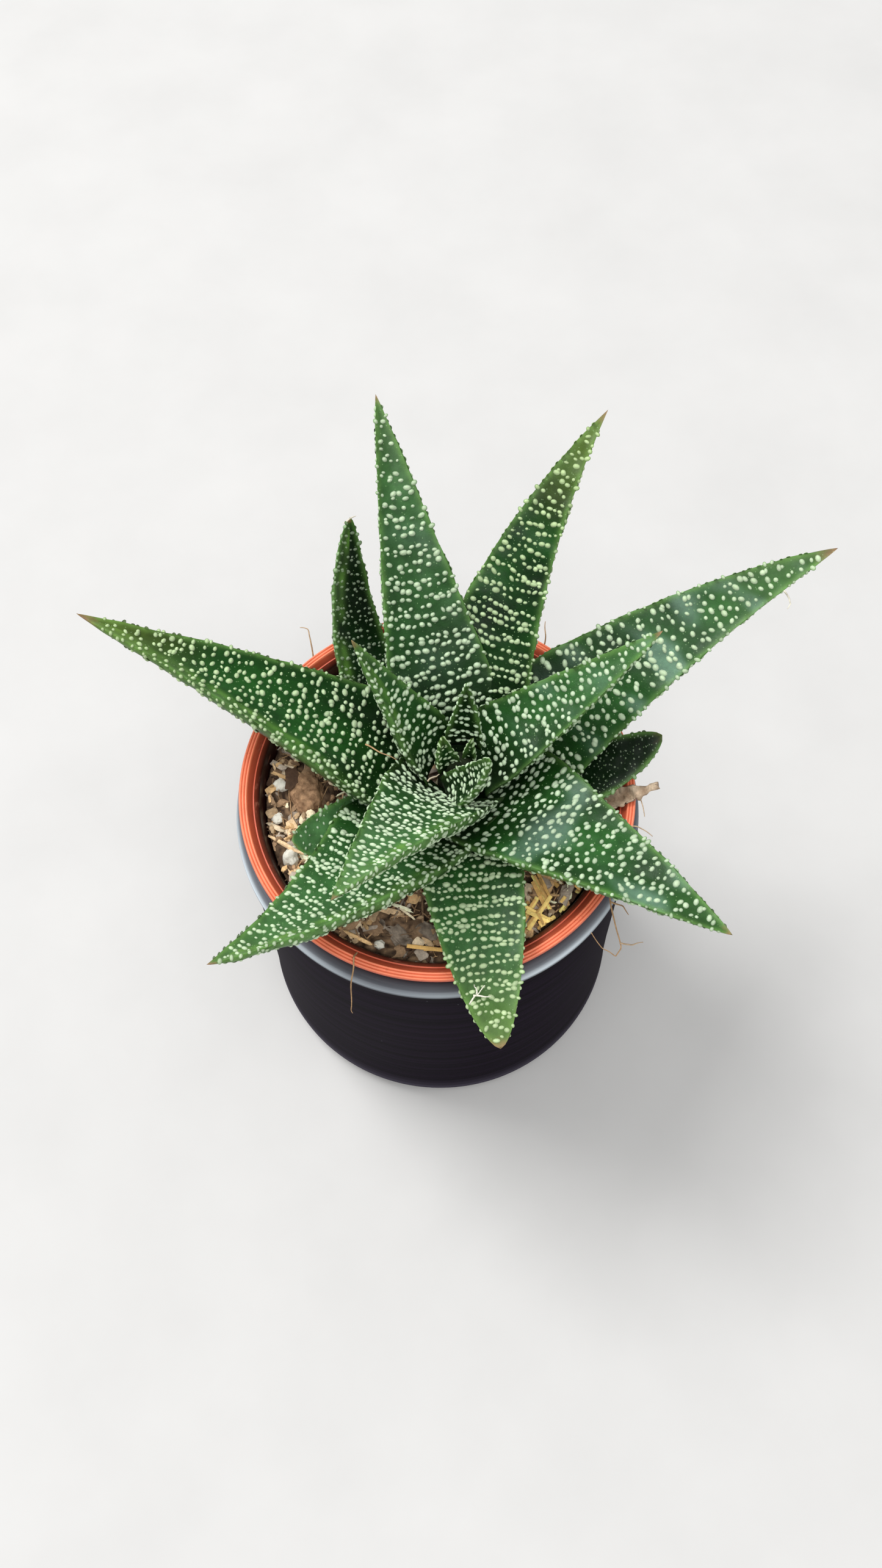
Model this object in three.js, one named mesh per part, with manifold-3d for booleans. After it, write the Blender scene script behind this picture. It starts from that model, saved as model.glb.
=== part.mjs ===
// A potted haworthia: a rosette of pointed, white-warted leaves in a small orange
// nursery pot, which stands slightly askew inside a black glazed outer pot.
// Millimetres, +Z up. The origin is the middle of the outer pot's flat foot.

import * as THREE from 'three';
import { mergeVertices } from 'three/addons/utils/BufferGeometryUtils.js';
import { ParametricGeometry } from 'three/addons/geometries/ParametricGeometry.js';
import Module from 'manifold-3d';

const wasm = await Module();
wasm.setup();

// ---------------------------------------------------------------- driving sizes

const GAP = 0.3; // air between neighbouring pieces

const outerPot = {
  lipRadius: 31,
  rimTop: 59.8,
  lipRound: 1.5,
  wallRadius: 30.5,
  footRadius: 31.5,
  footRound: 4,
  bore: 28.1,
  boreTaper: 1, // how much narrower the bore is at the floor
  neckDrop: 4.2, // from the rim's top down to where the wall meets the lip
  cove: 3, // slope between the bore and the floor
  floor: 5,
};

const nurseryPot = {
  askew: 2.6, // degrees, the back is the higher side
  rimHeight: 64.4, // middle of the rim's top
  rimRadius: 29.85,
  rimWidth: 1.35,
  rimEdge: 0.25,
  bandDepth: 0.8,
  shoulderRadius: 27.6,
  shoulderDrop: 1,
  footRadius: 20,
  height: 58.2,
  wall: 0.8,
};

const soil = {
  belowRim: 4,
  mound: 1.8, // rise towards the stem
  moundSpread: 11,
  lump: 0.45,
  clearOfWall: 0.5,
};

const stem = { x: 3.5, y: 1, radius: 3.4, crownRadius: 1.7, crownDrop: 3, top: 70.5, foot: 46 };

// from and to are shares of the leaf's length; clasped is where its underside comes free.
const wart = { across: 1.5, height: 0.45, sunk: 0.3, pitch: 5.2, from: 0.14, to: 0.98, clasped: 0.32 };

// How each leaf's cross-section changes along it. Widths and depths are shares of the
// leaf's own, and each span is a share of its length, measured from the foot.
const leafForm = {
  neck: { narrower: 0.15, span: 0.12 },
  heel: { thinner: 0.45, span: 0.15 },
  clasp: { bow: 0.12, span: 0.16 },
  channel: 0.22,
  thinning: [1.5, 0.8],
  upper: [-1, -0.5, 0, 0.5, 1],
  lower: [[1.03, 0.3], [0.74, 0.74], [0, 1], [-0.74, 0.74], [-1.03, 0.3]],
};

const ROUND_STEPS = 48; // facets round a pot
const SOIL_STEPS = 32;
const FINE_FACET = 0.02; // facets thinner than this are folded away
const SOIL_FACET = 0.08;

// Leaves from the heart of the rosette outwards. foot: where the leaf leaves the stem.
// heading: compass angle it grows towards, 0 along +X and 90 along +Y. turn: how far
// the heading has swung at the tip. rise: slope at the foot and at the tip. roll: tilt
// of the leaf's face at the foot, and how much more at the tip. taper: fullness, then
// sharpness of the outline.
const leaves = [
  { name: 'leaf_heart_tall', foot: [3.9, 2.6, 71.5], heading: 80, turn: 4, rise: [65, 79],
    length: 13, width: 6.2, thick: 2.6, roll: [0, 0], taper: [1.05, 0.9] },
  { name: 'leaf_heart_small', foot: [2, 0, 69.8], heading: 129, turn: 0, rise: [73, 83],
    length: 8.2, width: 4, thick: 2, roll: [10, 0], taper: [1.15, 0.9] },
  { name: 'leaf_heart_sliver', foot: [4.6, 0.9, 70], heading: 60, turn: 0, rise: [76, 86],
    length: 6.5, width: 2.4, thick: 1.4, roll: [0, 0], taper: [1.1, 0.9] },
  { name: 'leaf_heart_curled', foot: [0.3, -4, 69.3], heading: -15, turn: 0, rise: [56, 74],
    length: 17, width: 6.4, thick: 3.6, roll: [-19, -6], taper: [1.4, 0.8] },
  { name: 'leaf_left_inner', foot: [1.3, 1.7, 69.8], heading: 143, turn: 2, rise: [51, 50],
    length: 24.5, width: 12, thick: 4.4, roll: [-10, -3], taper: [0.85, 0.9] },
  { name: 'leaf_front_left_inner', foot: [2.7, -0.4, 69.2], heading: -121, turn: 5, rise: [42, 32],
    length: 41, width: 18.5, thick: 5.2, roll: [-3, -7], taper: [0.95, 0.95] },
  { name: 'leaf_right_inner', foot: [4.8, 2.2, 69.2], heading: 19, turn: 3, rise: [31, 33],
    length: 34, width: 15, thick: 4.5, roll: [-2, 0], taper: [0.85, 0.85] },
  { name: 'leaf_back_tall', foot: [3.4, 3.4, 67], heading: 106, turn: -3, rise: [40, 30],
    length: 54, width: 20, thick: 4.7, roll: [-8, -4], taper: [0.95, 0.9] },
  { name: 'leaf_front_right_broad', foot: [5.4, 0.2, 66.4], heading: -42, turn: 2, rise: [23, 4],
    length: 45.5, width: 24, thick: 5, roll: [4, 4], taper: [0.95, 0.85] },
  { name: 'leaf_front_left_long', foot: [-0.3, -0.7, 65.2], heading: -124, turn: -20, rise: [10, 24],
    length: 45.5, width: 25, thick: 6, roll: [-12, -22], taper: [1.1, 0.95] },
  { name: 'leaf_front', foot: [3.7, -3, 65.2], heading: -85, turn: 3, rise: [11, -7],
    length: 38, width: 16, thick: 4, roll: [0, 0], taper: [1.75, 0.65] },
  { name: 'leaf_left_long', foot: [0.7, 1.8, 64.2], heading: 159.5, turn: 6, rise: [27, 17],
    length: 58, width: 23, thick: 6, roll: [-12, -14], taper: [1.2, 0.95] },
  { name: 'leaf_back_right', foot: [3.8, 3.6, 64.2], heading: 77, turn: -30, rise: [42, 28],
    length: 56.5, width: 18, thick: 4.5, roll: [-2, 0], taper: [1.15, 0.95] },
  { name: 'leaf_right_long', foot: [6.3, 1.6, 63.9], heading: 32.5, turn: -15, rise: [29.5, 15],
    length: 62, width: 22.5, thick: 4.5, roll: [-15, 0], taper: [0.95, 0.85] },
  { name: 'leaf_right_low', foot: [6.3, -0.2, 63], heading: -4, turn: 29, rise: [7, 24],
    length: 29, width: 12, thick: 4.2, roll: [0, 0], taper: [2.1, 0.6] },
  { name: 'leaf_back_left_small', foot: [0.6, 3, 61], heading: 135.4, turn: -53.9, rise: [3, 52],
    length: 44.6, width: 13.2, thick: 4, roll: [-8, -34], taper: [1.35, 0.64] },
  { name: 'leaf_left_low', foot: [1.2, -0.8, 60.8], heading: -155, turn: -9, rise: [0, 27],
    length: 25, width: 13.5, thick: 3, roll: [15, 5], taper: [2.05, 0.6] },
];

// A withered leaf lies under the low right one, thin as paper.
const dryLeaf = {
  name: 'leaf_dry', foot: [9, -2, 61.2], heading: -8, turn: 18, rise: [4, 22],
  length: 24.5, width: 7.5, thick: 1.4, roll: [0, 0], taper: [1.2, 0.75],
};

// Loose grit on the soil, in the nursery pot's own frame: x, y, then its size.
const perlite = [
  { at: [-24, 2.4], size: [1.3, 1.1, 1] },
  { at: [-24.3, -3], size: [1, 0.9, 0.8] },
  { at: [-22, -9.2], size: [1.2, 1.9, 1.2] },
  { at: [-8.8, -23.4], size: [0.8, 0.7, 0.7] },
];
const peat = { at: [-19.9, 0.8], size: [2.6, 3.4, 1.6] };
const barkChips = [
  { at: [-6.2, -21.6], size: [2.6, 6.8, 1.2], heading: 36 },
  { at: [-1.8, -21.4], size: [2.2, 3.4, 1.4], heading: 60 },
  { at: [-17.6, 15.8], size: [3.4, 2, 1.2], heading: 20 },
];
const strawStem = { radius: 0.43, lift: 0.4 };
const straws = [
  { at: [13.2, -17.2], length: 8, heading: 62 },
  { at: [17.4, -14.4], length: 6, heading: -48 },
];

const GLAZE_BLACK = 0x17151b;
const PLASTIC_ORANGE = 0xd65436;
const STEM_GREEN = 0x4b5a2e;
const LEAF_GREEN = 0x2f5d34;
const WITHERED_TAN = 0x9c8463;
const SOIL_BROWN = 0x5d4632;
const PERLITE_WHITE = 0xe4e0d4;
const PEAT_BROWN = 0x8a6a48;
const BARK_GREY = 0x6f655c;
const STRAW_GOLD = 0xc79a4c;

// ---------------------------------------------------------------- shared helpers

// Mulberry32: the same scatter every time.
function seeded(seed) {
  let state = seed;
  return () => {
    state = (state + 0x6d2b79f5) | 0;
    let mixed = Math.imul(state ^ (state >>> 15), 1 | state);
    mixed = (mixed + Math.imul(mixed ^ (mixed >>> 7), 61 | mixed)) ^ mixed;
    return ((mixed ^ (mixed >>> 14)) >>> 0) / 4294967296;
  };
}

// One closed solid from a three.js geometry: shared corners merged, flat slivers
// dropped, and faces turned out.
function toSolid(geometry) {
  const bare = geometry.clone();
  bare.deleteAttribute('normal');
  bare.deleteAttribute('uv');
  const merged = mergeVertices(bare, 1e-3);
  const corners = merged.index.array;
  const place = merged.attributes.position;
  const faces = [];
  let volume = 0;
  const [a, b, c] = [new THREE.Vector3(), new THREE.Vector3(), new THREE.Vector3()];
  for (let i = 0; i < corners.length; i += 3) {
    const [p, q, r] = corners.slice(i, i + 3);
    if (p === q || q === r || r === p) continue;
    faces.push([p, q, r]);
    a.fromBufferAttribute(place, p);
    b.fromBufferAttribute(place, q);
    c.fromBufferAttribute(place, r);
    volume += a.dot(b.cross(c));
  }
  const outward = volume > 0 ? faces : faces.map(([p, q, r]) => [p, r, q]);
  return new wasm.Manifold(new wasm.Mesh({
    numProp: 3,
    vertProperties: new Float32Array(place.array),
    triVerts: new Uint32Array(outward.flat()),
  }));
}

function toGeometry(solid) {
  const mesh = solid.getMesh();
  const geometry = new THREE.BufferGeometry();
  geometry.setAttribute('position', new THREE.BufferAttribute(mesh.vertProperties.slice(), 3));
  geometry.setIndex(new THREE.BufferAttribute(mesh.triVerts.slice(), 1));
  geometry.computeVertexNormals();
  return geometry;
}

// The biggest body left after cutting, with hair-thin facets folded away.
function largestBody(solid, detail = FINE_FACET) {
  const bodies = toSolid(toGeometry(solid.simplify(detail))).decompose();
  bodies.sort((one, other) => other.volume() - one.volume());
  return bodies[0];
}

const group = new THREE.Group();

function addPiece(name, geometry, colour, roughness) {
  const material = new THREE.MeshStandardMaterial({ color: colour, roughness, metalness: 0 });
  const mesh = new THREE.Mesh(geometry, material);
  mesh.name = name;
  group.add(mesh);
}

// A turned body about the Z axis, from radius-height pairs.
function turned(outline, steps = ROUND_STEPS) {
  const profile = outline.map(([radius, height]) => new THREE.Vector2(radius, height));
  return new THREE.LatheGeometry(profile, steps).rotateX(Math.PI / 2);
}

// Points on an arc of a turned outline, angles in degrees from the outward direction.
function arc(radius, height, size, from, to, steps) {
  const points = [];
  for (let i = 0; i <= steps; i++) {
    const angle = THREE.MathUtils.degToRad(from + (to - from) * i / steps);
    points.push([radius + size * Math.cos(angle), height + size * Math.sin(angle)]);
  }
  return points;
}

// Soft bell that is 1 at the foot of a leaf and fades within a share of its length.
const nearFoot = (t, share) => Math.exp(-((t / share) ** 2));

// ---------------------------------------------------------------- leaves

// Middle line of a leaf and its sideways and upward directions, at even steps.
function leafSpine(leaf, steps) {
  const up = new THREE.Vector3(0, 0, 1);
  const at = new THREE.Vector3(...leaf.foot);
  const spine = [];
  for (let i = 0; i <= steps; i++) {
    const t = i / steps;
    const along = leafDirection(leaf, t);
    const right = new THREE.Vector3().crossVectors(along, up).normalize();
    const roll = THREE.MathUtils.degToRad(leaf.roll[0] + leaf.roll[1] * t);
    right.applyAxisAngle(along, -roll);
    const face = new THREE.Vector3().crossVectors(right, along);
    spine.push({ at: at.clone(), right, face });
    at.addScaledVector(leafDirection(leaf, t + 0.5 / steps), leaf.length / steps);
  }
  return spine;
}

function leafDirection(leaf, t) {
  const heading = THREE.MathUtils.degToRad(leaf.heading + leaf.turn * t);
  const rise = THREE.MathUtils.degToRad(leaf.rise[0] + (leaf.rise[1] - leaf.rise[0]) * t);
  return new THREE.Vector3(
    Math.cos(rise) * Math.cos(heading),
    Math.cos(rise) * Math.sin(heading),
    Math.sin(rise),
  );
}

// Cross-section at t, counted from the left margin over the channelled upper face to
// the right margin and back under the keeled lower face. Pairs: sideways, upwards.
function leafSection(leaf, t, grow) {
  const { neck, heel, clasp, channel, thinning } = leafForm;
  const narrowing = taperOff(t, leaf.taper) * (1 - neck.narrower * nearFoot(t, neck.span));
  const half = leaf.width / 2 * narrowing + grow;
  const depth = leaf.thick * taperOff(t, thinning) * (1 - heel.thinner * nearFoot(t, heel.span));
  const bow = clasp.bow * leaf.width * nearFoot(t, clasp.span);
  const hollow = channel * depth + bow;
  const upper = leafForm.upper.map((u) => [u * half, grow - hollow * (1 - u * u)]);
  const lower = leafForm.lower
    .map(([u, v]) => [u * half, -v * depth - bow * Math.max(0, 1 - u * u) - grow]);
  return [...upper, ...lower];
}

// Full at the foot and nothing at the tip: the powers set how full, then how sharp.
function taperOff(t, [fullness, sharpness]) {
  return Math.max(0, 1 - t ** fullness) ** sharpness;
}

const SECTION_CORNERS = leafForm.upper.length + leafForm.lower.length;
const UNDERSIDE = [4.5, 9.5]; // corners of the section between which the lower face lies
const SPINE_STEPS = 24;

// Point of the leaf's skin: t along it, k corners round the section.
function leafSkin(leaf, spine, t, k, grow) {
  const step = Math.min(spine.length - 1, t * (spine.length - 1));
  const near = spine[Math.min(spine.length - 2, Math.floor(step))];
  const far = spine[Math.min(spine.length - 1, Math.floor(step) + 1)];
  const share = step - Math.floor(Math.min(step, spine.length - 2));
  const section = leafSection(leaf, t, grow);
  const first = Math.floor(k) % SECTION_CORNERS;
  const from = section[first];
  const to = section[(first + 1) % SECTION_CORNERS];
  const sideways = from[0] + (to[0] - from[0]) * (k - Math.floor(k));
  const upwards = from[1] + (to[1] - from[1]) * (k - Math.floor(k));
  return near.at.clone().lerp(far.at, share)
    .addScaledVector(near.right.clone().lerp(far.right, share), sideways)
    .addScaledVector(near.face.clone().lerp(far.face, share), upwards);
}

// The smooth leaf. Its last row meets in the tip, and its first row in a seam that runs
// midway between the upper and the lower face, which closes the crescent of the foot.
function leafBody(leaf, grow = 0) {
  const rows = leaf.length > 20 ? 9 : 6;
  const spine = leafSpine(leaf, SPINE_STEPS);
  const surface = (around, along, target) => {
    const row = Math.round(along * (rows + 1));
    const k = around * SECTION_CORNERS;
    if (row === 0) {
      const across = (2 * SECTION_CORNERS - 1 - k) % SECTION_CORNERS;
      target.copy(leafSkin(leaf, spine, 0, k, grow)).lerp(leafSkin(leaf, spine, 0, across, grow), 0.5);
    } else if (row === rows + 1) {
      target.copy(spine.at(-1).at);
    } else {
      target.copy(leafSkin(leaf, spine, (row - 1) / rows, k, grow));
    }
  };
  return toSolid(new ParametricGeometry(surface, SECTION_CORNERS, rows + 1));
}

// A four-sided stud, its root sunk in the skin.
function wartSolid(at, outward, spin) {
  const stud = new THREE.ConeGeometry(wart.across / 2, wart.height + wart.sunk, 4);
  stud.rotateY(spin);
  stud.translate(0, (wart.height - wart.sunk) / 2, 0);
  stud.applyQuaternion(new THREE.Quaternion().setFromUnitVectors(new THREE.Vector3(0, 1, 0), outward));
  stud.translate(at.x, at.y, at.z);
  return toSolid(stud);
}

// Warts in rings round the leaf, from just clear of the clasping foot to the tip.
function leafWarts(leaf, random) {
  const spine = leafSpine(leaf, SPINE_STEPS);
  const studs = [];
  const span = wart.to - wart.from;
  const rings = Math.round(leaf.length * span / wart.pitch);
  for (let i = 0; i < rings; i++) {
    const t = wart.from + span * (i + 0.5) / rings;
    const girth = leafGirth(leafSection(leaf, t, 0));
    const count = Math.max(2, Math.round(girth / wart.pitch));
    for (let j = 0; j < count; j++) {
      const place = t + 0.3 * (random() - 0.5) / rings;
      const k = (SECTION_CORNERS * (j + 0.5 * (i % 2) + 0.4 * random()) / count) % SECTION_CORNERS;
      const underneath = k > UNDERSIDE[0] && k < UNDERSIDE[1];
      const clasped = underneath && place < wart.clasped;
      if (!clasped) studs.push(wartSolid(...leafNormal(leaf, spine, place, k), random() * Math.PI));
    }
  }
  return studs;
}

function leafGirth(section) {
  return section.reduce((sum, [x, y], i) => {
    const [nextX, nextY] = section[(i + 1) % section.length];
    return sum + Math.hypot(nextX - x, nextY - y);
  }, 0);
}

// A skin point and the direction that faces out of the leaf there.
function leafNormal(leaf, spine, t, k) {
  const at = leafSkin(leaf, spine, t, k, 0);
  const ahead = leafSkin(leaf, spine, Math.min(1, t + 0.02), k, 0);
  const beside = leafSkin(leaf, spine, t, k + 0.3, 0);
  const before = leafSkin(leaf, spine, t, k + SECTION_CORNERS - 0.3, 0);
  const outward = beside.sub(before).cross(ahead.sub(at)).normalize();
  return [at, outward];
}

// ---------------------------------------------------------------- pots, soil and grit

// Stands a piece that is drawn about the rim of the nursery pot in its tilted place.
const inPot = (geometry) => geometry
  .rotateX(THREE.MathUtils.degToRad(nurseryPot.askew))
  .translate(0, 0, nurseryPot.rimHeight);

function outerPotGeometry() {
  const { lipRadius, rimTop, lipRound, wallRadius, neckDrop, footRadius, footRound } = outerPot;
  const { bore, boreTaper, cove, floor } = outerPot;
  const lip = arc(lipRadius - lipRound, rimTop - lipRound, lipRound, -60, 180, 6);
  return turned([
    [0, 0],
    ...arc(footRadius - footRound, footRound, footRound, -90, 0, 3),
    [wallRadius, rimTop - neckDrop],
    ...lip,
    [bore, rimTop - 2 * lipRound],
    [bore - boreTaper, floor + cove],
    [bore - boreTaper - cove, floor],
    [0, floor],
  ]);
}

// Outside of the nursery pot below its rim, then the inside back up to the rim.
function nurseryPotGeometry() {
  const { rimRadius, rimWidth, rimEdge, bandDepth, shoulderRadius, shoulderDrop } = nurseryPot;
  const { footRadius, height, wall } = nurseryPot;
  return inPot(turned([
    [0, -height],
    [footRadius, -height],
    [shoulderRadius, -bandDepth - shoulderDrop],
    [shoulderRadius, -bandDepth],
    [rimRadius, -bandDepth],
    [rimRadius, -rimEdge],
    [rimRadius - rimEdge, 0],
    [rimRadius - rimWidth + rimEdge, 0],
    [rimRadius - rimWidth, -rimEdge],
    [shoulderRadius - wall, -bandDepth - wall],
    [footRadius - wall, wall - height],
    [0, wall - height],
  ]));
}

// Radius of the nursery pot's bore at a height below its rim.
function boreRadius(height) {
  const { bandDepth, shoulderRadius, footRadius, height: depth, wall } = nurseryPot;
  const share = (-height - bandDepth - wall) / (depth - bandDepth - 2 * wall);
  return THREE.MathUtils.lerp(shoulderRadius, footRadius, share) - wall;
}

// Height of the soil's top in the nursery pot's frame: a low mound round the stem,
// with soft lumps from crossed waves.
function soilTop(x, y) {
  const fromStem = Math.hypot(x - stem.x, y - stem.y);
  const mound = soil.mound * Math.exp(-((fromStem / soil.moundSpread) ** 2));
  const broad = Math.sin(0.9 * x + 0.4 * y) * Math.cos(0.7 * y - 0.5 * x);
  const fine = 0.6 * Math.sin(1.7 * x - 1.3 * y);
  return mound - soil.belowRim + soil.lump * (broad + fine);
}

function soilGeometry() {
  const bottom = nurseryPot.wall + GAP - nurseryPot.height;
  const edge = boreRadius(-soil.belowRim) - soil.clearOfWall;
  const rings = [1, 0.86, 0.72, 0.58, 0.44, 0.3, 0].map((share) => [share * edge, -soil.belowRim]);
  const base = [[0, bottom], [boreRadius(bottom) - soil.clearOfWall, bottom]];
  const geometry = turned([...base, ...rings], SOIL_STEPS);
  const place = geometry.attributes.position;
  for (let i = 0; i < place.count; i++) {
    if (place.getZ(i) > -soil.belowRim - 0.01) place.setZ(i, soilTop(place.getX(i), place.getY(i)));
  }
  return inPot(geometry);
}

const BEDDED = 1 / 6; // share of its height by which a crumb's middle is above the soil
const ROUGHNESS = 0.3; // spread of a pebble's corners about its size

// Grit lies in the soil's surface. Each shape can be grown all round to cut its bed.
function laidOnSoil(geometry, [x, y], lift) {
  return inPot(geometry.translate(x, y, soilTop(x, y) + lift));
}

// A rough pebble, its corners pushed in and out at random. Its size is from the middle.
function pebble({ at, size }, detail, seed, grow) {
  const bare = new THREE.IcosahedronGeometry(1, detail);
  bare.deleteAttribute('normal');
  bare.deleteAttribute('uv');
  const geometry = mergeVertices(bare, 1e-3);
  const place = geometry.attributes.position;
  const corner = new THREE.Vector3();
  const random = seeded(seed);
  for (let i = 0; i < place.count; i++) {
    corner.fromBufferAttribute(place, i).multiplyScalar(1 + ROUGHNESS * (random() - 0.5));
    place.setXYZ(i, ...corner.toArray());
  }
  return laidOnSoil(geometry.scale(...size.map((half) => half + grow)), at, size[2] * BEDDED);
}

// A flat six-sided sliver of bark.
function chip({ at, size, heading }, grow) {
  const geometry = new THREE.CylinderGeometry(0.42, 0.55, 1, 6);
  geometry.rotateX(Math.PI / 2).scale(...size.map((whole) => whole + 2 * grow));
  return laidOnSoil(geometry.rotateZ(THREE.MathUtils.degToRad(heading)), at, size[2] * BEDDED);
}

function straw({ at, length, heading }, grow) {
  const { radius, lift } = strawStem;
  const geometry = new THREE.CylinderGeometry(radius + grow, radius + grow, length + 2 * grow, 5);
  return laidOnSoil(geometry.rotateZ(THREE.MathUtils.degToRad(heading + 90)), at, lift);
}

// The stem, from among the roots to the heart of the rosette.
const stemBody = (grow) => toSolid(turned([
  [0, stem.foot - grow],
  [stem.radius + grow, stem.foot - grow],
  [stem.radius + grow, stem.top - stem.crownDrop],
  [stem.crownRadius + grow, stem.top + grow],
  [0, stem.top + grow],
], 16).translate(stem.x, stem.y, 0));

// ---------------------------------------------------------------- build

addPiece('outer_pot', outerPotGeometry(), GLAZE_BLACK, 0.15);
addPiece('nursery_pot', nurseryPotGeometry(), PLASTIC_ORANGE, 0.5);
addPiece('stem', toGeometry(stemBody(0)), STEM_GREEN, 0.7);

// Each leaf gives way to the stem and to the younger leaves that it clasps.
const random = seeded(41);
let taken = stemBody(GAP);
for (const leaf of [...leaves, dryLeaf]) {
  let solid = leafBody(leaf);
  if (leaf !== dryLeaf) {
    for (const stud of leafWarts(leaf, random)) solid = solid.add(stud);
  }
  solid = largestBody(solid.subtract(taken));
  addPiece(leaf.name, toGeometry(solid), leaf === dryLeaf ? WITHERED_TAN : LEAF_GREEN, 0.4);
  taken = taken.add(leafBody(leaf, GAP + wart.height));
}

const grit = [
  ...perlite.map((crumb) => ['perlite', PERLITE_WHITE, (...how) => pebble(crumb, 0, ...how)]),
  ['peat_lump', PEAT_BROWN, (...how) => pebble(peat, 1, ...how)],
  ...barkChips.map((bark) => ['bark_chip', BARK_GREY, (seed, grow) => chip(bark, grow)]),
  ...straws.map((stalk) => ['straw', STRAW_GOLD, (seed, grow) => straw(stalk, grow)]),
];
grit.forEach(([name, colour, shape], i) => {
  addPiece(`${name}_${i + 1}`, shape(i + 1, 0), colour, 0.9);
  taken = taken.add(toSolid(shape(i + 1, GAP)));
});

const bedded = toSolid(soilGeometry()).subtract(taken);
addPiece('soil', toGeometry(largestBody(bedded, SOIL_FACET)), SOIL_BROWN, 0.95);

export default group;
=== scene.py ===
"""A potted haworthia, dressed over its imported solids: a rosette of white-warted leaves in
an orange nursery pot, which stands askew inside a black glazed outer pot.

Tables and shapes are in millimetres and meshes in metres, in the solids' own frame:
+Z up, the origin in the middle of the outer pot's foot, -Y towards the viewer.
"""

import math

import bmesh
import bpy
import numpy as np
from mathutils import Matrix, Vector
from mathutils.bvhtree import BVHTree


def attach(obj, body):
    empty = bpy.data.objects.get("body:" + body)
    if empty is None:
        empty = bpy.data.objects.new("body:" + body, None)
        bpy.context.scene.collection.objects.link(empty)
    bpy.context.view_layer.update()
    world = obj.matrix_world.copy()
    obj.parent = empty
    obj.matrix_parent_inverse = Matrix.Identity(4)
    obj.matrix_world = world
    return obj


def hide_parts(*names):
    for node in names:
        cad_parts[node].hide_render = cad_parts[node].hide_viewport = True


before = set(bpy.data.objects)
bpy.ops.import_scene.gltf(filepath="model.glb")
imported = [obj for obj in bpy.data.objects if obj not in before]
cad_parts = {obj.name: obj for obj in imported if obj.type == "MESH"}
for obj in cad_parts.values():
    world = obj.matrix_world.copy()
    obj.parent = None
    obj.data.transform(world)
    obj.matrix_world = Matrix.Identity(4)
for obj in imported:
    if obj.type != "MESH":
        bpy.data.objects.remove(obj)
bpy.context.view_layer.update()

MM = 0.001
RING_STEPS = 192  # facets round a pot

# --- sizes, as in the solids

OUTER_POT = dict(lip_radius=31, rim_top=59.8, lip_round=1.5, wall_radius=30.5,
                 foot_radius=31.5, foot_round=4, bore=28.1, floor=5)
NURSERY_POT = dict(askew=2.6, rim_height=64.4, rim_radius=29.85, rim_width=1.35, band_depth=0.8,
                   shoulder_radius=27.6, foot_radius=20, height=58.2, wall=0.8)
SOIL = dict(below_rim=4, mound=1.8, mound_spread=11, lump=0.45, clear_of_wall=0.4)
STEM = dict(x=3.5, y=1, radius=3.4, top=70.5, foot=46)

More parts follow.
